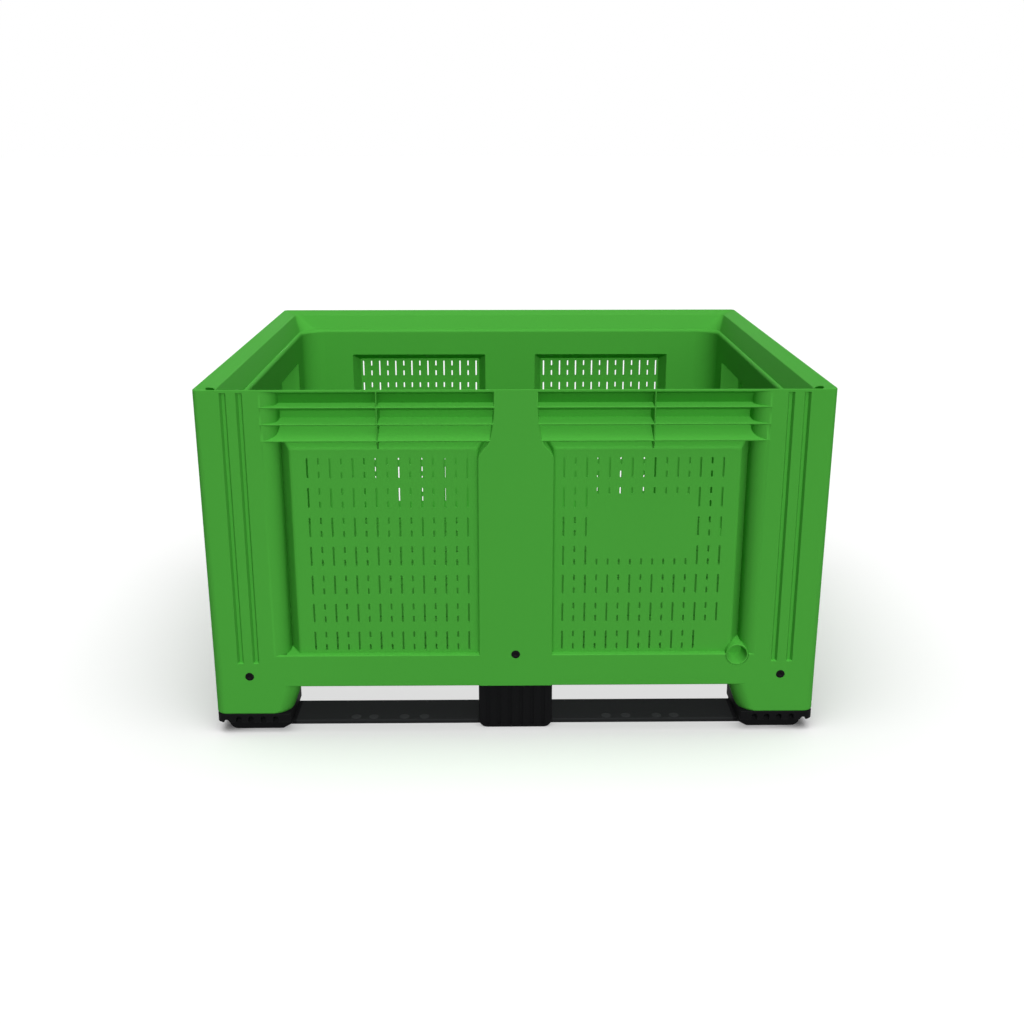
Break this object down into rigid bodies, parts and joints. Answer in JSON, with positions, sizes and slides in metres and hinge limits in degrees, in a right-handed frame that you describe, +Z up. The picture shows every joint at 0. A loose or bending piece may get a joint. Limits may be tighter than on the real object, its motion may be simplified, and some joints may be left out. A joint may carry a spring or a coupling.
{
  "type": "vented pallet box",
  "caption": "Large open-top plastic harvest bin with slotted double-skin walls, ribbed header, corner posts and plug-in skids with fork ways below.",
  "frame": {"origin": "on the ground under the middle of the box", "axes": "+X along the long walls to the right in the picture, -Y out of the pictured long wall, +Z up"},
  "size_m": [1.3, 1.15, 0.76],
  "materials": {
    "green_bin": "moulded green polyethylene, satin",
    "black_skid": "moulded black polyethylene, satin",
    "black_pin": "moulded black plastic, satin"
  },
  "bodies": {
    "root": {"bottom_rail_front": "green_bin", "bottom_rail_left": "green_bin", "bottom_rail_rear": "green_bin", "bottom_rail_right": "green_bin", "column_front": "green_bin", "column_left": "green_bin", "column_rear": "green_bin", "column_right": "green_bin", "corner_post_front_left": "green_bin", "corner_post_front_right": "green_bin", "corner_post_rear_left": "green_bin", "corner_post_rear_right": "green_bin", "drain_boss_front": "green_bin", "drain_boss_rear": "green_bin", "floor_deck": "green_bin", "header_front": "green_bin", "header_left": "green_bin", "header_rear": "green_bin", "header_right": "green_bin", "rim_front": "green_bin", "rim_left": "green_bin", "rim_rear": "green_bin", "rim_right": "green_bin", "vent_panel_front_left": "green_bin", "vent_panel_front_right": "green_bin", "vent_panel_left_front": "green_bin", "vent_panel_left_rear": "green_bin", "vent_panel_rear_left": "green_bin", "vent_panel_rear_right": "green_bin", "vent_panel_right_front": "green_bin", "vent_panel_right_rear": "green_bin", "skid_front": "black_skid", "skid_middle": "black_skid", "skid_rear": "black_skid", "pin_front_left": "black_pin", "pin_front_middle": "black_pin", "pin_front_right": "black_pin", "pin_rear_left": "black_pin", "pin_rear_middle": "black_pin", "pin_rear_right": "black_pin", "pin_left_middle": "black_pin", "pin_right_middle": "black_pin"}
  },
  "joints": []
}
